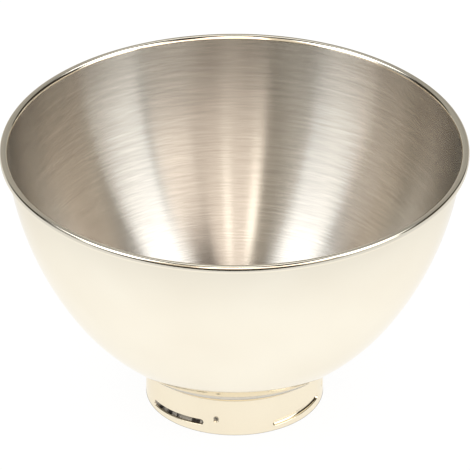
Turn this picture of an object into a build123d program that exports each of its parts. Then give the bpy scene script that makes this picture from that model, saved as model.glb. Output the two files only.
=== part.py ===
# Bowl of a stand mixer: a pressed steel shell with a rolled rim, standing on
# a separate pressed foot ring that is welded under it. The foot ring carries
# the bayonet cams that lock the bowl to the mixer.
#
# Millimetres. The bowl stands on z = 0 and its axis is Z. The cams lie where
# they are seen from the front, and the front is the -Y side.

import os
from math import asin, cos, degrees, hypot, radians, sin

from build123d import *

# Bowl shell: sizes of the outer skin. A lean is an angle from the vertical.
rim_diameter = 236.0        # over the rolled rim
shell_sheet = 0.8           # steel of the bowl
rim_bead = 4.0              # height of the rolled rim
curl_gap = 0.3              # left open between the curled edge and the wall
rim_lean = 5.5              # lean of the wall just under the rim
side_radius = 175.2         # upper wall
side_sweep = 28.9
turn_radius = 114.2         # where the wall turns under
turn_sweep = 16.9
base_flat = 40.0            # diameter of the flat in the middle of the base
base_lift = 18.8            # from the table to the flat

# Foot ring
foot_diameter = 90.5
foot_sheet = 1.2
flare_radius = 10.0         # outside, where the wall turns out under the bowl
flange_width = 4.0          # lies against the underside of the bowl
seat_clearance = 0.05       # between the flange and the bowl
edge_break = 0.25           # deburring of the cut edge that stands on the table

# Bayonet cams: grooves pressed in from outside, which stand out as ridges inside
cam_count = 4
cam_span = 40.0             # degrees between the centres of the rounded ends
cam_azimuth = -42.5         # middle of the first cam, from the front towards +X
cam_height = 5.1            # middle of the cam above the table
cam_rise = 1.6              # from the low end to the high end
groove_mouth = 3.0
groove_depth = 1.5
press_round = 0.4           # edge of each groove, ridge and dent

# Stop dents, one above and beyond the high end of each cam
stop_azimuth = 30.5         # from the middle of its cam
stop_height = 9.0
stop_mouth = 3.8
stop_depth = 0.7

# Lean of the wall where its arcs meet
side_lean = rim_lean + side_sweep
turn_lean = side_lean + turn_sweep


def outward(lean):
    """Unit normal of the outer skin, pointing out, where the wall has this lean."""
    return Vector(cos(radians(lean)), -sin(radians(lean)))


# The rolled rim is tangent to the inner skin, so its centre lies on the wall's normal.
bead_radius = rim_bead / 2
curl_bore = bead_radius - shell_sheet
bead_x = rim_diameter / 2 - bead_radius
wall_top_x = bead_x - curl_bore * outward(rim_lean).X

# The base arc takes up the width that the side and turn arcs leave, down to the flat.
base_flat_x = base_flat / 2
upper_width = side_radius * (outward(rim_lean).X - outward(side_lean).X)
turn_width = turn_radius * (outward(side_lean).X - outward(turn_lean).X)
base_radius = (wall_top_x - base_flat_x - upper_width - turn_width) / outward(turn_lean).X

# Centres of the arcs, from the base up. Neighbouring arcs share a normal.
base_centre = Vector(base_flat_x, base_lift + base_radius)
turn_centre = base_centre + outward(turn_lean) * (base_radius - turn_radius)
side_centre = turn_centre + outward(side_lean) * (turn_radius - side_radius)
wall_top = side_centre + outward(rim_lean) * side_radius
bead_centre = wall_top + outward(rim_lean) * curl_bore

# The curl runs over the top and round until its edge is curl_gap from the wall.
curl_past_bottom = degrees(asin((curl_bore - curl_gap) / bead_radius))
curl_sweep = 270 + curl_past_bottom
curl_end = 180 - rim_lean - curl_sweep


def wall_arcs(depth):
    """The three wall arcs, this deep under the outer skin, from the base flat to the rim."""
    CenterArc(base_centre, base_radius - depth, -90, 90 - turn_lean)
    CenterArc(turn_centre, turn_radius - depth, -turn_lean, turn_sweep)
    CenterArc(side_centre, side_radius - depth, -side_lean, side_sweep)


def at_angle(centre, radius, angle):
    """Point at an angle round a centre, in the section plane."""
    return centre + Vector(cos(radians(angle)), sin(radians(angle))) * radius


with BuildPart() as bowl_shell:
    with BuildSketch(Plane.XZ):
        with BuildLine():
            Line((0, base_lift), (base_flat_x, base_lift))
            wall_arcs(0)
            CenterArc(bead_centre, curl_bore, 180 - rim_lean, -curl_sweep)
            Line(
                at_angle(bead_centre, curl_bore, curl_end),
                at_angle(bead_centre, bead_radius, curl_end),
            )
            CenterArc(bead_centre, bead_radius, curl_end, curl_sweep)
            wall_arcs(shell_sheet)
            Line((base_flat_x, base_lift + shell_sheet), (0, base_lift + shell_sheet))
            Line((0, base_lift + shell_sheet), (0, base_lift))
        make_face()
    revolve(axis=Axis.Z)

bowl_shell.part.label = "bowl_shell"

# Foot ring section. The flare is tangent to the upright wall and to the underside of
# the flange, and the flange runs outwards along the base arc of the bowl.
foot_x = foot_diameter / 2
flange_radius = base_radius + seat_clearance
flange_under = flange_radius + foot_sheet
flare_x = foot_x + flare_radius
flare_reach = flange_under + flare_radius
flange_start = asin((flare_x - base_flat_x) / flare_reach)
flare_z = base_centre.Y - flare_reach * cos(flange_start)
flare_centre = Vector(flare_x, flare_z)
flange_inner = degrees(flange_start)
flange_sweep = degrees(flange_width / flange_radius)
flange_outer = flange_inner + flange_sweep

with BuildPart() as ring_wall:
    with BuildSketch(Plane.XZ):
        with BuildLine():
            Line((foot_x, 0), (foot_x, flare_z))
            CenterArc(flare_centre, flare_radius, 180, flange_inner - 90)
            CenterArc(base_centre, flange_under, flange_inner - 90, flange_sweep)
            Line(
                at_angle(base_centre, flange_under, flange_outer - 90),
                at_angle(base_centre, flange_radius, flange_outer - 90),
            )
            CenterArc(base_centre, flange_radius, flange_outer - 90, -flange_sweep)
            CenterArc(flare_centre, flare_radius + foot_sheet, 90 + flange_inner, 90 - flange_inner)
            Line((foot_x - foot_sheet, flare_z), (foot_x - foot_sheet, 0))
            Line((foot_x - foot_sheet, 0), (foot_x, 0))
        make_face()
    revolve(axis=Axis.Z)
    fillet(ring_wall.faces().sort_by(Axis.Z)[0].edges(), edge_break)


def press_radius(mouth, depth):
    """Radius of a round-nosed press that leaves this mouth and depth."""
    return (mouth**2 / 4 + depth**2) / (2 * depth)


# Each press is placed from the middle of its cam, which lies on the local X axis. A cam
# is turned back by half its span, and tilted about the line from the axis to its middle.
groove_radius = press_radius(groove_mouth, groove_depth)
groove_x = foot_x - groove_depth + groove_radius
cam_tilt = degrees(asin(cam_rise / (2 * groove_x * sin(radians(cam_span / 2)))))
cam_seat = Location((0, 0, cam_height), (cam_tilt, 0, -cam_span / 2))
front = -90

stop_radius = press_radius(stop_mouth, stop_depth)
stop_x = foot_x - stop_depth + stop_radius
stop_turn = radians(stop_azimuth)
stop_seat = Location((stop_x * cos(stop_turn), stop_x * sin(stop_turn), stop_height))


def cam_press(tube_radius):
    """Round bar along a cam, from the X axis on, with half a ball on each end."""
    half_ball_seat = (Align.CENTER, Align.MIN, Align.CENTER)
    with BuildPart() as bar:
        with BuildSketch(Plane.XZ):
            with Locations((groove_x, 0)):
                Circle(tube_radius)
        revolve(axis=Axis.Z, revolution_arc=cam_span)
        with Locations(Location((groove_x, 0), (0, 0, 180))):
            Sphere(tube_radius, arc_size3=180, align=half_ball_seat)
        with PolarLocations(groove_x, 1, start_angle=cam_span):
            Sphere(tube_radius, arc_size3=180, align=half_ball_seat)
    return bar.part


def meets_wall(edge):
    """True for an edge where a press meets the outer or the inner face of the ring's wall."""
    middle = edge @ 0.5
    radius = hypot(middle.X, middle.Y)
    gap = min(abs(radius - foot_x), abs(radius - foot_x + foot_sheet))
    return gap < 0.01 and edge.geom_type == GeomType.BSPLINE


cam_groove = cam_press(groove_radius)
cam_ridge = cam_press(groove_radius + foot_sheet)

with BuildPart() as ridges:
    with PolarLocations(0, cam_count, start_angle=front + cam_azimuth):
        with Locations(cam_seat):
            add(cam_ridge)
        with Locations(stop_seat):
            Sphere(stop_radius + foot_sheet)
    # Only what stands inside the middle of the sheet is kept.
    Cylinder(
        foot_x - foot_sheet / 2,
        flare_z,
        align=(Align.CENTER, Align.CENTER, Align.MIN),
        mode=Mode.INTERSECT,
    )

with BuildPart() as foot_ring:
    add(ring_wall.part)
    add(ridges.part)
    with PolarLocations(0, cam_count, start_angle=front + cam_azimuth):
        with Locations(cam_seat):
            add(cam_groove, mode=Mode.SUBTRACT)
        with Locations(stop_seat):
            Sphere(stop_radius, mode=Mode.SUBTRACT)
    fillet(foot_ring.edges().filter_by(meets_wall), press_round)

foot_ring.part.label = "foot_ring"

os.makedirs("parts", exist_ok=True)
export_step(bowl_shell.part, "parts/bowl_shell.step")
export_step(foot_ring.part, "parts/foot_ring.step")

print("overall height", round(bead_centre.Y + bead_radius, 2), "mm")
print("base radius", round(base_radius, 2), "mm")
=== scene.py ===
# %% [markdown]
# # A bowl for a stand mixer
#
# The real object is two pieces of stainless steel: a bowl pressed and spun from one round
# blank, with its rim rolled outwards, and a foot ring pressed from a strip and welded under it.
# Almost everything that the eye sees on it is a reflection. So this lesson makes smooth forms,
# two finishes of one steel, and a room for the steel to reflect.

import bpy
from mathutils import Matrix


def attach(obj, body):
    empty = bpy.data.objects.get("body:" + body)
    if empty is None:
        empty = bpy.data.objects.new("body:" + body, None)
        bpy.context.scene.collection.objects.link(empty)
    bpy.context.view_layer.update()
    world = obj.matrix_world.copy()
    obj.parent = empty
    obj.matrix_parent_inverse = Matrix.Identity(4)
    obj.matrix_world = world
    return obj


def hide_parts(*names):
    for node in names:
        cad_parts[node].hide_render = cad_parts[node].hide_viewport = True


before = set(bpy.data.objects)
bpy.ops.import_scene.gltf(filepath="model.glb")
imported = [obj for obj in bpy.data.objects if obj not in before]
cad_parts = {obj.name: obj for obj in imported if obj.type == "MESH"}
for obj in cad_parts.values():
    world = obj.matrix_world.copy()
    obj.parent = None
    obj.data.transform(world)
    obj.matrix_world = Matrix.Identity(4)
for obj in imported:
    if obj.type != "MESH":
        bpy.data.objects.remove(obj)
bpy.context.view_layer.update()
print("pieces of the frame:", sorted(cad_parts))

# %% [markdown]
# ## Helpers
#
# The forms are worked out in millimetres, as a maker would write them, and Blender is given
# metres. Colours are written as they look on a screen, in sRGB, and the renderer wants linear
# light, so one function turns the one into the other.

# %% Units and colours
from math import asin, cos, degrees, pi, radians, sin, sqrt

import bmesh
import bpy
import numpy as np

MM = 0.001


def linear(hex_colour):
    """Linear RGBA of an sRGB colour such as #C0FFEE."""
    shares = [int(hex_colour[i : i + 2], 16) / 255 for i in (1, 3, 5)]
    return tuple(s / 12.92 if s <= 0.04045 else ((s + 0.055) / 1.055) ** 2.4 for s in shares) + (1.0,)


print("middle grey is", round(linear("#777777")[0], 3), "of full light")

# %% [markdown]
# A material is a tree of small nodes. One function adds a node of any kind, with its settings
# and with what goes into its sockets, so that each call below reads as one step of a recipe.

# %% Nodes
MATH, VECTOR = "ShaderNodeMath", "ShaderNodeVectorMath"
RANGE, NOISE = "ShaderNodeMapRange", "ShaderNodeTexNoise"


def add_node(tree, kind, settings=None, feeds=None):
    """Adds a node. settings are its properties, and feeds are values or links for its sockets."""
    made = tree.nodes.new(kind)
    for name, value in (settings or {}).items():
        setattr(made, name, value)
    for socket, source in (feeds or {}).items():
        if isinstance(source, bpy.types.NodeSocket):
            tree.links.new(source, made.inputs[socket])
        else:
            made.inputs[socket].default_value = source
    return made


def new_material(name):
    """An empty material, and its node tree."""
    material = bpy.data.materials.new(name)
    material.use_nodes = True
    material.node_tree.nodes.clear()
    return material, material.node_tree


print("the nodes used most:", MATH, VECTOR, RANGE, NOISE)

# %% [markdown]
# ## Camera
#
# The bowl is seen from well above, with almost no perspective, as by a long lens from the other
# side of a studio. The camera stands 3.9 m from the middle of the rim, 30 degrees up, on the
# -Y side.

# %% Camera
RIM_HEIGHT = 140.6 * MM
CAMERA_DISTANCE = 3.894
CAMERA_RISE = radians(30)
CAMERA_PITCH = radians(30.627)
CAMERA_RIGHT = 0.2 * MM
FILM_WIDTH = 36
FOCAL_LENGTH = 594.2
FURTHEST_SEEN = 50

lens = bpy.data.cameras.new("camera")
lens.sensor_width = FILM_WIDTH
lens.lens = FOCAL_LENGTH
lens.clip_end = FURTHEST_SEEN
camera = bpy.data.objects.new("camera", lens)
camera.location = (
    CAMERA_RIGHT,
    -CAMERA_DISTANCE * cos(CAMERA_RISE),
    RIM_HEIGHT + CAMERA_DISTANCE * sin(CAMERA_RISE),
)
camera.rotation_euler = (pi / 2 - CAMERA_PITCH, 0, 0)
bpy.context.scene.collection.objects.link(camera)
bpy.context.scene.camera = camera
print("camera at", [round(x, 3) for x in camera.location])

# %% [markdown]
# ## Turned forms
#
# A form that is round about an axis is drawn as half a section and turned. Blender's Screw
# modifier and the Spin tool both do that. A small function does the same here, for two reasons:
# each stretch of the section gets its own finish, and the foot's columns of points can crowd
# together where the press has worked.

# %% Arcs and turning
SAME_POINT = 1e-6  # mm
CREASE = radians(50)


def arc(centre, radius, start, sweep, steps):
    """Points along an arc of the section, with its angles in degrees from the +X side."""
    angles = np.radians(start + sweep * np.linspace(0, 1, steps + 1))
    return [(centre[0] + radius * cos(a), centre[1] + radius * sin(a)) for a in angles]


def turn_section(name, stretches, columns, closed, shape=None):
    """Turns a section about Z. stretches are lists of (radius, height) in mm, each with a finish's
    number, columns are angles in degrees, and shape moves the points before the mesh is made."""
    section, finishes = [], []
    for points, finish in stretches:
        for point in points:
            if section and abs(point[0] - section[-1][0]) + abs(point[1] - section[-1][1]) < SAME_POINT:
                continue
            section.append(point)
            finishes.append(finish)
    radius, height = np.array(section).T
    radius, height = np.tile(radius, (len(columns), 1)), np.tile(height, (len(columns), 1))
    around = np.radians(np.array(columns))[:, None]
    if shape:
        radius, height = shape(around, radius, height)
    places = np.stack([radius * np.cos(around), radius * np.sin(around), height], axis=-1) * MM

    rows = len(section)
    corners, face_finish = [], []
    for column in range(len(columns)):
        here, beside = column * rows, (column + 1) % len(columns) * rows
        for row in range(rows if closed else rows - 1):
            above = (row + 1) % rows
            corners.append((here + row, beside + row, beside + above, here + above))
            face_finish.append(finishes[above])
    mesh = bpy.data.meshes.new(name)
    mesh.from_pydata(places.reshape(-1, 3).tolist(), [], corners)
    mesh.polygons.foreach_set("material_index", face_finish)

    # The points on the axis become one, and the faces look outwards.
    shell = bmesh.new()
    shell.from_mesh(mesh)
    bmesh.ops.remove_doubles(shell, verts=shell.verts, dist=1e-7)
    bmesh.ops.recalc_face_normals(shell, faces=shell.faces)
    shell.to_mesh(mesh)
    shell.free()
    mesh.shade_smooth()
    mesh.set_sharp_from_angle(angle=CREASE)

    piece = bpy.data.objects.new(name, mesh)
    bpy.context.scene.collection.objects.link(piece)
    print(name, "has", len(mesh.polygons), "faces")
    return piece


print("half a circle of 10 mm in two steps:", [(round(x), round(z)) for x, z in arc((0, 0), 10, 0, 180, 2)])

# %% [markdown]
# ## The bowl
#
# The wall is three arcs that run into each other without a corner: a long flat one at the side,
# a tighter one where the wall turns under, and a small one in the base. Each next centre lies on
# the line through the last one and the point where the arcs meet. The steel is 0.8 mm thick,
# so the same arcs, 0.8 mm smaller, give the inside.

# %% Wall of the bowl
RIM_RADIUS = 118.0
SHEET = 0.8
BEAD_RADIUS = 2.0
RIM_LEAN, SIDE_SWEEP, TURN_SWEEP = 5.5, 28.9, 16.9
SIDE_RADIUS, TURN_RADIUS = 175.2, 114.2
FLAT_RADIUS, FLAT_HEIGHT = 20.0, 18.8
FLAT_POINTS, BASE_STEPS, TURN_STEPS, SIDE_STEPS = 9, 24, 20, 36


def outward(lean):
    """Unit vector that points out of the wall where it leans this much from the vertical."""
    return np.array([cos(radians(lean)), -sin(radians(lean))])


bore = BEAD_RADIUS - SHEET
side_lean = RIM_LEAN + SIDE_SWEEP
turn_lean = side_lean + TURN_SWEEP
wall_top_x = RIM_RADIUS - BEAD_RADIUS - bore * outward(RIM_LEAN)[0]
side_width = SIDE_RADIUS * (outward(RIM_LEAN)[0] - outward(side_lean)[0])
turn_width = TURN_RADIUS * (outward(side_lean)[0] - outward(turn_lean)[0])
base_radius = (wall_top_x - FLAT_RADIUS - side_width - turn_width) / outward(turn_lean)[0]
base_centre = np.array([FLAT_RADIUS, FLAT_HEIGHT + base_radius])
turn_centre = base_centre + outward(turn_lean) * (base_radius - TURN_RADIUS)
side_centre = turn_centre + outward(side_lean) * (TURN_RADIUS - SIDE_RADIUS)


def wall(depth):
    """The wall from the axis up to the rim, this deep under the outer skin."""
    flat = [(x, FLAT_HEIGHT + depth) for x in np.linspace(0, FLAT_RADIUS, FLAT_POINTS)]
    base = arc(base_centre, base_radius - depth, -90, 90 - turn_lean, BASE_STEPS)
    turn = arc(turn_centre, TURN_RADIUS - depth, -turn_lean, TURN_SWEEP, TURN_STEPS)
    side = arc(side_centre, SIDE_RADIUS - depth, -side_lean, SIDE_SWEEP, SIDE_STEPS)
    return flat + base + turn + side


print("radius of the base arc:", round(base_radius, 2), "mm")

# %% [markdown]
# The rim is rolled outwards until the cut edge almost meets the wall again, so nobody touches
# a sharp edge. The roll is 4 mm thick. Its inner side runs on from the inside of the wall. The
# rolling wheel pressed its outer side a little flat, and that is why the rim shows the dark room
# as a line and not as a hair: the flat looks straight at it. It is buffed with the outside.

# %% Rolled rim, and the whole bowl
CURL_GAP = 0.3
WHEEL_FLAT = 3.0  # 2 would be a plain circle, and more is squarer
ROLL_STEPS, BORE_STEPS, BOWL_COLUMNS = 60, 16, 256
BRUSHED, POLISHED = 0, 1


def rolled_edge(centre, start, sweep, steps):
    """The outer skin of the roll: a circle on the side of the bowl, squarer on the outer side."""
    points = []
    for angle in np.radians(start + sweep * np.linspace(0, 1, steps + 1)):
        x, z = cos(angle), sin(angle)
        stretch = (abs(x) ** WHEEL_FLAT + abs(z) ** WHEEL_FLAT) ** (-1 / WHEEL_FLAT) if x > 0 else 1.0
        points.append((centre[0] + BEAD_RADIUS * stretch * x, centre[1] + BEAD_RADIUS * stretch * z))
    return points


bead_centre = side_centre + outward(RIM_LEAN) * (SIDE_RADIUS + bore)
curl_sweep = 270 + degrees(asin((bore - CURL_GAP) / BEAD_RADIUS))
curl_start = 180 - RIM_LEAN
bowl = turn_section(
    "bowl",
    [
        (wall(SHEET), BRUSHED),
        (rolled_edge(bead_centre, curl_start, -curl_sweep, ROLL_STEPS), POLISHED),
        (arc(bead_centre, bore, curl_start - curl_sweep, curl_sweep, BORE_STEPS), POLISHED),
        (wall(0)[::-1], POLISHED),
    ],
    np.arange(BOWL_COLUMNS) * 360 / BOWL_COLUMNS,
    closed=False,
)
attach(bowl, "root")
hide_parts("bowl_shell")
print("the rim is", round(2 * (bead_centre[0] + BEAD_RADIUS), 1), "mm across")

# %% [markdown]
# ## The foot ring
#
# The ring is the skilled piece of this object. A press with a round nose pushes four grooves
# into its wall from outside. Inside they stand out as ridges, and the mixer's plate slides
# under them when the bowl is turned. Each groove climbs 1.6 mm along its length, so the turn
# pulls the bowl down. A small dent above the high end stops the turn.
#
# A boolean cut would leave ragged edges round so small a shape. Here the sheet is a fine grid
# and each point is moved as the press moved it, by a depth that depends only on how far the
# point lies from the middle line of the press. Both skins are moved, so the sheet stays a sheet.

# %% The press
FOOT_RADIUS = 45.25
FOOT_SHEET = 1.2
FLARE_RADIUS = 10.0
FLANGE_WIDTH = 4.0
SEAT_GAP = 0.05
EDGE_BREAK = 0.25
CAM_COUNT, CAM_SPAN, CAM_AZIMUTH = 4, 40.0, -42.5
CAM_HEIGHT, CAM_RISE = 5.1, 1.6
GROOVE_MOUTH, GROOVE_DEPTH = 3.0, 1.5
STOP_AZIMUTH, STOP_HEIGHT = 30.5, 9.0
STOP_MOUTH, STOP_DEPTH = 3.8, 0.7
PRESS_ROUND = 0.4
FRONT = -90


def nose_radius(mouth, depth):
    """Radius of the round nose that leaves a dent of this mouth and depth."""
    return (mouth**2 / 4 + depth**2) / (2 * depth)


def press_reach(nose, depth):
    """How far from its middle a press moves the sheet, up to the outside of the rounded edge."""
    return sqrt((nose + PRESS_ROUND) ** 2 - (nose - depth + PRESS_ROUND) ** 2)


def pressed(distance, nose, depth):
    """Depth of the sheet at a distance from the press's middle: a round nose with a rounded edge."""
    reach = press_reach(nose, depth)
    meets = reach * nose / (nose + PRESS_ROUND)
    under_nose = np.sqrt(np.maximum(nose**2 - distance**2, 0)) - (nose - depth)
    on_edge = PRESS_ROUND - np.sqrt(np.maximum(PRESS_ROUND**2 - (reach - distance) ** 2, 0))
    return np.where(distance < meets, under_nose, np.where(distance < reach, on_edge, 0))


def offsets(nose, depth, steps):
    """Distances from the press's middle at which points are wanted, closest where it is steep."""
    reach = press_reach(nose, depth)
    steepest = asin(reach / (nose + PRESS_ROUND))
    under_nose = nose * np.sin(np.linspace(0, steepest, steps + 1))
    on_edge = reach - PRESS_ROUND * np.sin(np.linspace(steepest, 0, steps // 2 + 1))
    just_outside = reach + 0.15
    return list(under_nose) + list(on_edge[1:]) + [just_outside]


groove_nose = nose_radius(GROOVE_MOUTH, GROOVE_DEPTH)
stop_nose = nose_radius(STOP_MOUTH, STOP_DEPTH)
print("the noses are", groove_nose, "and", round(stop_nose, 2), "mm in radius")

# %% [markdown]
# The grid's rows follow the slanting grooves, so that no groove is cut into steps. They lean
# with the groove along each cam and swing back between two cams.

# %% Shape of the pressed sheet
CAM_PITCH = 2 * pi / CAM_COUNT
CAM_END = radians(CAM_SPAN / 2)
# Heights above the table between which the rows take up the slant, and lose it again.
SLANT_BEGINS, SLANT_ENDS = (0.3, 2.4), (7.8, 12.5)


def fade(x, low, high):
    """A smooth step from 0 at low to 1 at high."""
    t = np.clip((x - low) / (high - low), 0, 1)
    return t * t * (3 - 2 * t)


def from_nearest(angle):
    """The angle from the nearest of the places that repeat with every cam."""
    return (angle + CAM_PITCH / 2) % CAM_PITCH - CAM_PITCH / 2


def cam_lift(angle):
    """How far the groove's middle line lies above the height of the cam's middle."""
    gap = CAM_PITCH - 2 * CAM_END
    along = np.sin(np.clip(angle, -CAM_END, CAM_END)) / sin(CAM_END)
    beyond = np.cos(pi * (np.abs(angle) - CAM_END) / gap) * np.sign(angle)
    return CAM_RISE / 2 * np.where(np.abs(angle) < CAM_END, along, beyond)


def press_foot(around, radius, height):
    """Moves the points of the ring's wall as the press moved them."""
    angle = from_nearest(around - radians(FRONT + CAM_AZIMUTH))
    outer = np.abs(radius - FOOT_RADIUS) < SAME_POINT
    inner = np.abs(radius - FOOT_RADIUS + FOOT_SHEET) < SAME_POINT
    wall_points = (outer | inner) & (height < flare_centre[1] + SAME_POINT)
    slant = fade(height, *SLANT_BEGINS) * (1 - fade(height, *SLANT_ENDS))
    height = np.where(wall_points, height + cam_lift(angle) * slant, height)

    past_end = np.maximum(np.abs(angle) - CAM_END, 0) * radius
    groove_height = CAM_HEIGHT + cam_lift(np.clip(angle, -CAM_END, CAM_END))
    to_groove = np.hypot(past_end, height - groove_height)
    to_stop = np.hypot(from_nearest(angle - radians(STOP_AZIMUTH)) * radius, height - STOP_HEIGHT)
    depth = np.zeros_like(radius)
    for skin, more in ((outer, 0.0), (inner, FOOT_SHEET)):
        in_groove = pressed(to_groove, groove_nose + more, GROOVE_DEPTH)
        in_stop = pressed(to_stop, stop_nose + more, STOP_DEPTH)
        depth = np.where(skin & wall_points, np.maximum(in_groove, in_stop), depth)
    return radius - depth, height


ends = [round(float(cam_lift(side * CAM_END)), 2) for side in (-1, 1)]
print("the ends of a groove lie", ends, "mm from its middle's height")

# %% [markdown]
# The section of the ring is drawn with straight walls, as it was before the press. Its rows
# crowd together over the groove and over the stop dent, on the inner skin over a wider stretch,
# because the sheet's thickness makes a ridge wider than its groove.

# %% Section of the ring
BUFFED, PRESSED = 0, 1
GROOVE_ROW_STEPS = 8
STOP_ROWS = np.arange(7.9, 11.6, 0.3)
ROWS_BETWEEN = [0.7, 1.2, 1.7, 2.1, 12.4, 13.4, 14.4]
EDGE_STEPS, FLARE_STEPS, FLANGE_STEPS = 3, 14, 6

flange_radius = base_radius + SEAT_GAP
flange_under = flange_radius + FOOT_SHEET
flare_x = FOOT_RADIUS + FLARE_RADIUS
flare_reach = flange_under + FLARE_RADIUS
flange_inner = degrees(asin((flare_x - FLAT_RADIUS) / flare_reach))
flare_centre = (flare_x, base_centre[1] - flare_reach * cos(radians(flange_inner)))
flange_sweep = degrees(FLANGE_WIDTH / flange_radius)
flange_outer = flange_inner + flange_sweep
# The end of the flange is ground off on a slope as wide as the sheet is thick, so it shows a
# soft pale edge under the bowl and not a dark one.
ground = degrees(FOOT_SHEET / flange_under)


def wall_heights(more):
    """Heights of the rows up the wall: crowded over the groove and the stop dent of this skin."""
    groove = offsets(groove_nose + more, GROOVE_DEPTH, GROOVE_ROW_STEPS)
    rows = [CAM_HEIGHT + side * t for t in groove for side in (-1, 1)]
    rows += list(STOP_ROWS) + ROWS_BETWEEN
    rows = sorted(z for z in set(np.round(rows, 4)) if EDGE_BREAK < z < flare_centre[1])
    return [EDGE_BREAK] + rows + [flare_centre[1]]


inner_x = FOOT_RADIUS - FOOT_SHEET
flare_sweep = flange_inner - 90
foot_stretches = [
    (arc((FOOT_RADIUS - EDGE_BREAK, EDGE_BREAK), EDGE_BREAK, -90, 90, EDGE_STEPS), BUFFED),
    ([(FOOT_RADIUS, z) for z in wall_heights(0)], BUFFED),
    (arc(flare_centre, FLARE_RADIUS, 180, flare_sweep, FLARE_STEPS), BUFFED),
    (arc(base_centre, flange_under, flare_sweep, flange_sweep - ground, FLANGE_STEPS), BUFFED),
    (arc(base_centre, flange_radius, flange_outer - 90, -flange_sweep, FLANGE_STEPS), PRESSED),
    (arc(flare_centre, FLARE_RADIUS + FOOT_SHEET, 90 + flange_inner, -flare_sweep, FLARE_STEPS), PRESSED),
    ([(inner_x, z) for z in wall_heights(FOOT_SHEET)[::-1]], PRESSED),
    (arc((inner_x + EDGE_BREAK, EDGE_BREAK), EDGE_BREAK, 180, 90, EDGE_STEPS), PRESSED),
]
print("the flare starts", round(flare_centre[1], 2), "mm above the table")

# %% [markdown]
# The columns of the grid crowd the same way, at the round ends of each cam and across each stop
# dent. Columns that would lie closer than an eighth of a degree are left out.

# %% Foot ring
PLAIN_COLUMN_STEP = 2.0  # degrees
CLOSEST_COLUMNS = 0.12  # degrees
GROOVE_END_STEPS = 6
RIDGE_END_OFFSETS = [2.2, 2.35, 2.5, 2.65]
STOP_OFFSETS = np.arange(0, 2.5, 0.35)

wanted = list(np.arange(0, 360, PLAIN_COLUMN_STEP))
for cam in range(CAM_COUNT):
    middle = FRONT + CAM_AZIMUTH + 360 / CAM_COUNT * cam
    for t in offsets(groove_nose, GROOVE_DEPTH, GROOVE_END_STEPS) + RIDGE_END_OFFSETS:
        past_middle = CAM_SPAN / 2 + degrees(t / FOOT_RADIUS)
        wanted += [middle - past_middle, middle + past_middle]
    for t in STOP_OFFSETS:
        wanted += [middle + STOP_AZIMUTH + side * degrees(t / FOOT_RADIUS) for side in (-1, 1)]
foot_columns = []
for angle in sorted(a % 360 for a in wanted):
    if not foot_columns or angle - foot_columns[-1] > CLOSEST_COLUMNS:
        foot_columns.append(angle)

foot = turn_section("foot", foot_stretches, foot_columns, closed=True, shape=press_foot)
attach(foot, "root")
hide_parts("foot_ring")
print("columns:", len(foot_columns))

# %% [markdown]
# ## Steel, brushed round and round inside
#
# The inside was brushed with a belt while the bowl turned on its axis. The fine scratches run in
# circles, so light is smeared across them, up and down the wall, and hardly at all along them.
# That draws the room as a fan of long streaks. The shader does this with anisotropy: the tangent
# node gives the direction round the axis, and a quarter turn of it lays the smear across.
#
# The steel gives back about 0.6 of the light, as real stainless steel does. That matters more
# inside than outside: much of the light on the far sides has bounced twice or more, and each
# bounce takes its share, so they fall darker by themselves.

# %% Brushed steel
ACROSS = (1, 1, 0)


def from_axis(tree, place):
    """Distance from the Z axis."""
    flat = add_node(tree, VECTOR, {"operation": "MULTIPLY"}, {0: place, 1: ACROSS})
    return add_node(tree, VECTOR, {"operation": "LENGTH"}, {0: flat.outputs[0]}).outputs["Value"]


def ring_pattern(tree, spacing, runs):
    """Noise drawn out along circles about Z. spacing is the size of a line in metres, and runs says
    how many times it changes along one radian."""
    place = add_node(tree, "ShaderNodeTexCoord").outputs["Object"]
    flat = add_node(tree, VECTOR, {"operation": "MULTIPLY"}, {0: place, 1: ACROSS})
    facing = add_node(tree, VECTOR, {"operation": "NORMALIZE"}, {0: flat.outputs[0]})
    around = add_node(tree, VECTOR, {"operation": "SCALE"}, {0: facing.outputs[0], "Scale": runs})
    height = add_node(tree, "ShaderNodeSeparateXYZ", None, {0: place}).outputs["Z"]
    # Radius and height both grow along the wall, so their sum never stands still on it.
    along = add_node(tree, MATH, {"operation": "ADD"}, {0: from_axis(tree, place), 1: height})
    lines = add_node(tree, MATH, {"operation": "MULTIPLY"}, {0: along.outputs[0], 1: 1 / spacing})
    up = add_node(tree, "ShaderNodeCombineXYZ", None, {"Z": lines.outputs[0]})
    both = add_node(tree, VECTOR, {"operation": "ADD"}, {0: around.outputs[0], 1: up.outputs[0]})
    shape = {"Vector": both.outputs[0], "Scale": 1.0, "Detail": 2.0, "Roughness": 0.6}
    return add_node(tree, NOISE, None, shape).outputs["Fac"]


def blend_colours(tree, amount, low, high):
    """A colour between two sRGB colours, by an amount from 0 to 1."""
    feeds = {"Factor": amount, 6: linear(low), 7: linear(high)}
    return add_node(tree, "ShaderNodeMix", {"data_type": "RGBA"}, feeds).outputs[2]


brushed, tree = new_material("stainless steel, belt brushed")
# A belt leaves lines of about half a millimetre, in bands of about one. The fine lines break off
# sooner than the bands.
fine_lines = ring_pattern(tree, 0.5 * MM, 8.0)
wide_lines = ring_pattern(tree, 1.2 * MM, 3.0)
scratches = add_node(tree, MATH, {"operation": "MULTIPLY"}, {0: fine_lines, 1: wide_lines})
# The product of the two patterns lies between about 0.1 and 0.45, so that range gets all the
# contrast.
contrast = {"Value": scratches.outputs[0], "From Min": 0.1, "From Max": 0.45}
scratches = add_node(tree, RANGE, None, contrast)
tint = blend_colours(tree, scratches.outputs[0], "#BDB9B2", "#D2CFC8")
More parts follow.
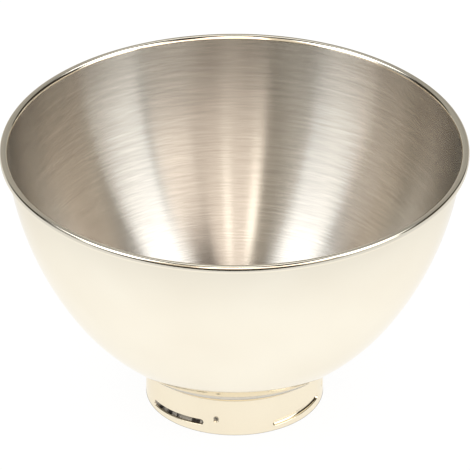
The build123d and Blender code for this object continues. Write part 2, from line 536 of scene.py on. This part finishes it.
# Roughness about 0.26, all of it across the lines, gives streaks with soft ends and quite sharp
# sides.
rough = add_node(tree, RANGE, None, {"Value": wide_lines, "To Min": 0.25, "To Max": 0.27})
tangent = add_node(tree, "ShaderNodeTangent", {"direction_type": "RADIAL", "axis": "Z"})
steel = add_node(
    tree,
    "ShaderNodeBsdfPrincipled",
    None,
    {
        "Base Color": tint,
        "Metallic": 1.0,
        "Roughness": rough.outputs[0],
        "Anisotropic": 1.0,
        "Anisotropic Rotation": 0.25,
        "Tangent": tangent.outputs[0],
    },
)
add_node(tree, "ShaderNodeOutputMaterial", None, {"Surface": steel.outputs[0]})
print("material:", brushed.name)

# %% [markdown]
# ## Steel, mirror polished outside
#
# The outside and the rim were buffed on a soft wheel. That leaves a mirror with the faintest
# circles in it, and the slow unevenness of sheet metal that was spun over a form. Its colour is
# written paler than steel's own, because the picture is exposed so that the outside almost
# melts into the white table. The foot is painted a shade yellower and darker: painted
# reflection of the table and the steel round it, which the foot shows over more than one bounce.
#
# The groove and the dent at the front left are painted grey and black: painted shade and
# dark reflection in the hollows, on that side only. A mask finds them: it looks
# for places that lie deeper than the ring's wall, within a range of directions.

# %% Painted shade in the presses
# Painted shade in the front-left presses: the depths where it starts and is full, and the directions where
# it fades in at each side.
PAINTED_SHADE_STARTS, PAINTED_SHADE_FULL = 0.15 * MM, 0.7 * MM
PAINTED_SHADE_LEFT, PAINTED_SHADE_RIGHT = (-80, -70), (0, -8)


def direction_of(tree, vector):
    """Direction round the Z axis in radians, from the camera's side to the right."""
    part = add_node(tree, "ShaderNodeSeparateXYZ", None, {0: vector})
    front = add_node(tree, MATH, {"operation": "MULTIPLY"}, {0: part.outputs["Y"], 1: -1.0})
    angle = add_node(tree, MATH, {"operation": "ARCTAN2"}, {0: part.outputs["X"], 1: front.outputs[0]})
    return angle.outputs[0]


def painted_shade_mask(tree, place):
    """Painted shade: 1 deep in the presses at the front left of the foot, and 0 everywhere else."""
    radii = {0: FOOT_RADIUS * MM, 1: from_axis(tree, place)}
    depth = add_node(tree, MATH, {"operation": "SUBTRACT"}, radii).outputs[0]
    mask = add_node(tree, RANGE, None, {"Value": depth, "From Min": PAINTED_SHADE_STARTS, "From Max": PAINTED_SHADE_FULL})
    around = direction_of(tree, place)
    for outside, inside in (PAINTED_SHADE_LEFT, PAINTED_SHADE_RIGHT):
        limits = {"Value": around, "From Min": radians(outside), "From Max": radians(inside)}
        side = add_node(tree, RANGE, None, limits)
        mask = add_node(tree, MATH, {"operation": "MULTIPLY"}, {0: mask.outputs[0], 1: side.outputs[0]})
    return mask.outputs[0]


print("the paste covers all from", round(PAINTED_SHADE_FULL / MM, 1), "mm under the ring's wall")

# %% [markdown]
# The two polished finishes differ only in tint and in the painted shade in the presses, so one function
# makes both.

# %% Polished steel


def buffed_steel(name, dark, light, painted_shade=False):
    """Mirror steel whose tint wanders between two close colours, with or without painted shade in the
    presses.
    """
    material, tree = new_material(name)
    place = add_node(tree, "ShaderNodeTexCoord").outputs["Object"]
    # Unevenness about 40 mm across: 1 / 0.040 m = 25.
    uneven = add_node(tree, NOISE, None, {"Vector": place, "Scale": 25.0, "Detail": 1.0}).outputs["Fac"]
    tint = blend_colours(tree, uneven, dark, light)
    # Roughness about 0.1 keeps the room's edges readable, and still looks like metal and not like
    # a glass mirror.
    buffing = ring_pattern(tree, 0.8 * MM, 3.0)
    rough = add_node(tree, RANGE, None, {"Value": buffing, "To Min": 0.06, "To Max": 0.14}).outputs[0]
    if painted_shade:
        in_painted_shade = painted_shade_mask(tree, place)
        # Painted dark reflection: patches a few millimetres long lie along the groove, black where the
        # noise is low.
        contrast = {"Value": ring_pattern(tree, 6 * MM, 14.0), "From Min": 0.42, "From Max": 0.49}
        patches = add_node(tree, RANGE, None, contrast).outputs[0]
        painted_shade_colour = blend_colours(tree, patches, "#3A3632", "#A29C92")
        over = {"Factor": in_painted_shade, 6: tint, 7: painted_shade_colour}
        tint = add_node(tree, "ShaderNodeMix", {"data_type": "RGBA"}, over).outputs[2]
        rough = add_node(tree, RANGE, None, {"Value": in_painted_shade, "To Min": rough, "To Max": 0.5}).outputs[0]
    bump = add_node(tree, "ShaderNodeBump", None, {"Strength": 0.2, "Distance": 0.4 * MM, "Height": uneven})
    steel = add_node(
        tree,
        "ShaderNodeBsdfPrincipled",
        None,
        {
            "Base Color": tint,
            "Metallic": 1.0,
            "Roughness": rough,
            # What the metal gives back at a flat angle: almost all of the light, hardly tinted.
            "Specular Tint": linear("#FBF9F5"),
            "Normal": bump.outputs[0],
        },
    )
    add_node(tree, "ShaderNodeOutputMaterial", None, {"Surface": steel.outputs[0]})
    print("material:", name)
    return material


polished = buffed_steel("stainless steel, buffed to a mirror", "#F4ECDA", "#FCF6E6")
# The foot's steel: painted a shade yellower and darker as painted reflection, with painted shade in its
# presses at the front left.
straw = buffed_steel("stainless steel, buffed over a straw heat tint", "#F1E5CC", "#F9EFD8", painted_shade=True)

# %% [markdown]
# ## Steel, as it left the press
#
# Nobody buffs the inside of the foot. It keeps the duller skin of rolled sheet, a little greyer
# and rougher, with faint lines round the axis from drawing.

# %% Pressed steel
satin, tree = new_material("stainless steel, rolled and pressed")
place = add_node(tree, "ShaderNodeTexCoord").outputs["Object"]
# Rolled skin with patches about 6 mm across: 1 / 0.006 m = 167.
patches = add_node(tree, NOISE, None, {"Vector": place, "Scale": 167.0, "Detail": 3.0}).outputs["Fac"]
tint = blend_colours(tree, patches, "#CFC8BB", "#E6DFD1")
# Roughness from 0.26 to 0.40 blurs the table and the light to a satin sheen.
rough = add_node(tree, RANGE, None, {"Value": patches, "To Min": 0.26, "To Max": 0.40})
drawn = ring_pattern(tree, 0.7 * MM, 4.0)
bump = add_node(tree, "ShaderNodeBump", None, {"Strength": 0.3, "Distance": 0.03 * MM, "Height": drawn})
steel = add_node(
    tree,
    "ShaderNodeBsdfPrincipled",
    None,
    {"Base Color": tint, "Metallic": 1.0, "Roughness": rough.outputs[0], "Normal": bump.outputs[0]},
)
add_node(tree, "ShaderNodeOutputMaterial", None, {"Surface": steel.outputs[0]})
print("material:", satin.name)

# %% Give the pieces their finishes
# The order is that of the finishes' numbers in the sections above.
for material in (brushed, polished):
    bowl.data.materials.append(material)
for material in (straw, satin):
    foot.data.materials.append(material)
print("finishes:", [m.name for m in bowl.data.materials], [m.name for m in foot.data.materials])

# %% [markdown]
# ## Table and daylight
#
# The table is white paper. To the camera it is pure white, as in a catalogue picture, and it
# still takes a faint shadow: most of its white is its own, and the last few percent are lit.
# In the steel its own white is painted light and shade: a painted pool of light, brightest
# round the bowl and clearly greyer 40 cm off, and a painted shadow in the crack where the foot
# stands on it. It ends a third of a metre in front of the bowl, because the rim shows its edge as a dark
# line.

# %% Paper
OWN_WHITE = 0.9  # of full white, for the camera
NEAR, FAR = 0.12, 0.40  # metres from the axis
NEAR_PAINTED_LIGHT, FAR_PAINTED_LIGHT = 0.92, 0.60
CRACK_SHADOW_INSIDE, CRACK_SHADOW_OUTSIDE = 45.2 * MM, 45.7 * MM

paper, tree = new_material("white paper")
path = add_node(tree, "ShaderNodeLightPath").outputs
seen = path["Is Camera Ray"]
for ray in ("Is Glossy Ray", "Is Transmission Ray"):
    seen = add_node(tree, MATH, {"operation": "MAXIMUM"}, {0: seen, 1: path[ray]}).outputs[0]
place = add_node(tree, "ShaderNodeTexCoord").outputs["Object"]
away = from_axis(tree, place)
# Painted light and shade, seen only in the steel: the table's glow fades from the bowl outwards as a
# painted pool of light, and a painted shadow darkens the crack where the foot stands.
fading = {"Value": away, "From Min": NEAR, "From Max": FAR, "To Min": NEAR_PAINTED_LIGHT, "To Max": FAR_PAINTED_LIGHT}
far = add_node(tree, RANGE, {"interpolation_type": "SMOOTHSTEP"}, fading)
opening = {"Value": away, "From Min": CRACK_SHADOW_INSIDE, "From Max": CRACK_SHADOW_OUTSIDE}
painted_crack_shadow = add_node(tree, RANGE, {"interpolation_type": "SMOOTHSTEP"}, opening)
painted_light_in_steel = add_node(tree, MATH, {"operation": "MULTIPLY"}, {0: far.outputs[0], 1: painted_crack_shadow.outputs[0]})
either = {"Factor": path["Is Glossy Ray"], 2: OWN_WHITE, 3: painted_light_in_steel.outputs[0]}
glow = add_node(tree, "ShaderNodeMix", {"data_type": "FLOAT"}, either)
own = add_node(tree, "ShaderNodeEmission", None, {"Color": linear("#FFFFFF"), "Strength": glow.outputs[0]})
# Paper grain about 1 mm across: 1 / 0.001 m = 1000.
grain = add_node(tree, NOISE, None, {"Vector": place, "Scale": 1000.0, "Detail": 2.0}).outputs["Fac"]
paper_grey = blend_colours(tree, grain, "#5E5E5E", "#666666")
lit = add_node(tree, "ShaderNodeBsdfDiffuse", None, {"Color": paper_grey})
both = add_node(tree, "ShaderNodeAddShader", None, {0: own.outputs[0], 1: lit.outputs[0]})
plain = add_node(tree, "ShaderNodeBsdfDiffuse", None, {"Color": linear("#F2F2F2")})
sheet = add_node(tree, "ShaderNodeMixShader", None, {0: seen, 1: plain.outputs[0], 2: both.outputs[0]})
add_node(tree, "ShaderNodeOutputMaterial", None, {"Surface": sheet.outputs[0]})
print("material:", paper.name)

# %% Table
FRONT_EDGE, BACK_EDGE, SIDE_EDGE = -0.36, 6.0, 6.0

table_mesh = bpy.data.meshes.new("table")
table_corners = [
    (-SIDE_EDGE, FRONT_EDGE, 0),
    (SIDE_EDGE, FRONT_EDGE, 0),
    (SIDE_EDGE, BACK_EDGE, 0),
    (-SIDE_EDGE, BACK_EDGE, 0),
]
table_mesh.from_pydata(table_corners, [], [(0, 1, 2, 3)])
table = bpy.data.objects.new("table", table_mesh)
table.data.materials.append(paper)
bpy.context.scene.collection.objects.link(table)
print("the table's front edge is", -FRONT_EDGE, "m from the bowl's axis")

# %% Daylight
world = bpy.data.worlds.new("white studio")
world.use_nodes = True
tree = world.node_tree
tree.nodes.clear()
white = add_node(tree, "ShaderNodeBackground", None, {"Color": linear("#FFFFFF"), "Strength": 1.0})
add_node(tree, "ShaderNodeOutputWorld", None, {"Surface": white.outputs[0]})
bpy.context.scene.world = world
print("world:", world.name)

# %% [markdown]
# ## The room that the steel reflects
#
# Polished metal has no look of its own. A photographer builds one round it, with soft boxes,
# pale boards and black flags. Here that room is a ball round the table that only reflections
# can see. Panels are painted on its inside: each one covers a range of directions round the
# bowl and of heights above the table, with soft or sharp edges. They are painted one over the
# other, so a panel further down the list covers the ones before it.
#
# The brushed inside draws each panel as a streak on the opposite wall, about half as far round
# as the panel stands from the camera. So the two soft boxes give the two broad white streaks,
# the dark gap beside the left one gives the dark wedge, and the two narrow strips give the thin
# bright lines in the middle. The boards behind the bowl are what its outside shows at the edges.

# %% Panels of the room
ROOM_RADIUS = 3.0
ROOM_COLOUR = "#3A352F"

# Directions are degrees from the camera's side, to the right. Heights are degrees up.
panels = [
    # name, from, to, softness, lowest, highest, softness, colour, brightness
    ("left soft box, lower half", -77, -42, 8, 12, 50, 6, "#FFFFFF", 2.15),
    ("its dimmer side", -98, -77, 10, 12, 50, 6, "#FFFFFF", 0.4),
    ("left soft box, upper half", -122, -44, 8, 47, 68, 6, "#FFFFFF", 3.2),
    ("dark gap beside it", -42, -18, 2, 12, 90, 4, "#E8DCCB", 0.95),
    ("ceiling left of the camera", -18, 0, 2, 34, 90, 6, "#FFF0E3", 1.9),
    ("ceiling right of the camera", 0, 24, 2, 34, 90, 6, "#FFF0E3", 1.9),
    ("ceiling further right", 24, 47, 2, 16, 50, 6, "#FFF0E3", 2.4),
    ("front wall", -18, 24, 2, 12, 38, 6, "#FFEEDF", 1.8),
    ("strip of light, left", -17, -12, 1, 32, 66, 4, "#FFF6EA", 4.8),
    ("strip of light, right", 3, 8, 1, 32, 66, 4, "#FFF6EA", 3.4),
    ("right soft box, lower half", 50, 82, 4, 10, 50, 6, "#FFFFFF", 2.45),
    ("right soft box, upper half", 52, 120, 6, 47, 68, 6, "#FFFFFF", 3.2),
    ("pale wall on the right", 30, 125, 6, -10, 10, 4, "#D8D2C8", 0.8),
    ("light behind, left", -168, -128, 10, 45, 68, 4, "#FFFFFF", 0.3),
    ("light behind, right", 128, 168, 10, 45, 68, 4, "#FFFFFF", 0.3),
    ("strip behind", 168, 181, 6, 45, 68, 4, "#FFFFFF", 1.4),
    ("strip behind, its other half", -181, -168, 6, 45, 68, 4, "#FFFFFF", 1.4),
    ("backdrop, left", -190, -130, 8, -90, 10, 4, "#E0DDD7", 0.9),
    ("backdrop, right", 140, 190, 8, -90, 10, 4, "#E0DDD7", 0.9),
    ("backdrop's shaded top, left", -190, -130, 8, 10, 46, 4, "#E0DDD7", 0.5),
    ("backdrop's shaded top, right", 140, 190, 8, 10, 46, 4, "#E0DDD7", 0.45),
]
print("panels in the room:", [panel[0] for panel in panels])

# %% Paint of the room
room_paint, tree = new_material("painted room")
place = add_node(tree, "ShaderNodeTexCoord").outputs["Object"]
facing = add_node(tree, VECTOR, {"operation": "NORMALIZE"}, {0: place}).outputs[0]
azimuth = direction_of(tree, facing)
upward = add_node(tree, "ShaderNodeSeparateXYZ", None, {0: facing}).outputs["Z"]
elevation = add_node(tree, MATH, {"operation": "ARCSINE"}, {0: upward}).outputs[0]


def between(tree, value, low, high, softness):
    """1 where value lies between two angles in degrees, fading out over the softness at each."""
    inside = 1.0
    for edge, before, after in ((low, 0.0, 1.0), (high, 1.0, 0.0)):
        fading = {
            "Value": value,
            "From Min": radians(edge - softness / 2),
            "From Max": radians(edge + softness / 2),
            "To Min": before,
            "To Max": after,
        }
        step = add_node(tree, RANGE, {"interpolation_type": "SMOOTHSTEP"}, fading)
        inside = add_node(tree, MATH, {"operation": "MULTIPLY"}, {0: inside, 1: step.outputs[0]}).outputs[0]
    return inside


light = add_node(tree, "ShaderNodeRGB").outputs[0]
light.default_value = linear(ROOM_COLOUR)
for name, left, right, side_soft, low, high, end_soft, colour, brightness in panels:
    sideways = between(tree, azimuth, left, right, side_soft)
    upright = between(tree, elevation, low, high, end_soft)
    inside = add_node(tree, MATH, {"operation": "MULTIPLY"}, {0: sideways, 1: upright})
    glow = [share * brightness for share in linear(colour)[:3]] + [1.0]
    over = {"Factor": inside.outputs[0], 6: light, 7: glow}
    light = add_node(tree, "ShaderNodeMix", {"data_type": "RGBA", "clamp_result": False}, over).outputs[2]
glowing = add_node(tree, "ShaderNodeEmission", None, {"Color": light, "Strength": 1.0})
add_node(tree, "ShaderNodeOutputMaterial", None, {"Surface": glowing.outputs[0]})
print("nodes in its paint:", len(tree.nodes))

# %% The ball
ball = bmesh.new()
bmesh.ops.create_uvsphere(ball, u_segments=64, v_segments=32, radius=ROOM_RADIUS)
room_mesh = bpy.data.meshes.new("room")
ball.to_mesh(room_mesh)
ball.free()
room = bpy.data.objects.new("room", room_mesh)
room.data.materials.append(room_paint)
room.visible_camera = False
room.visible_diffuse = False
room.visible_shadow = False
room.visible_volume_scatter = False
bpy.context.scene.collection.objects.link(room)
print("the room is", 2 * ROOM_RADIUS, "m across")

# %% [markdown]
# Two soft boxes give the table its light. They are large and gentle, so the shadow under the
# foot has no edge. Reflections don't show them, because the room already has its own.

# %% Soft boxes
BOX_WIDTH, BOX_HEIGHT, BOX_POWER = 1.2, 0.9, 6.0
BOX_SIDE, BOX_FRONT, BOX_UP = 1.4, -0.9, 1.7

for name, side in (("soft box left", -1), ("soft box right", 1)):
    box = bpy.data.lights.new(name, "AREA")
    box.shape = "RECTANGLE"
    box.size, box.size_y = BOX_WIDTH, BOX_HEIGHT
    box.energy = BOX_POWER
    lamp = bpy.data.objects.new(name, box)
    lamp.location = (side * BOX_SIDE, BOX_FRONT, BOX_UP)
    lamp.rotation_euler = (lamp.location * -1).to_track_quat("-Z", "Y").to_euler()
    lamp.visible_glossy = False
    bpy.context.scene.collection.objects.link(lamp)

# %% How colours are shown
bpy.context.scene.view_settings.view_transform = "Standard"
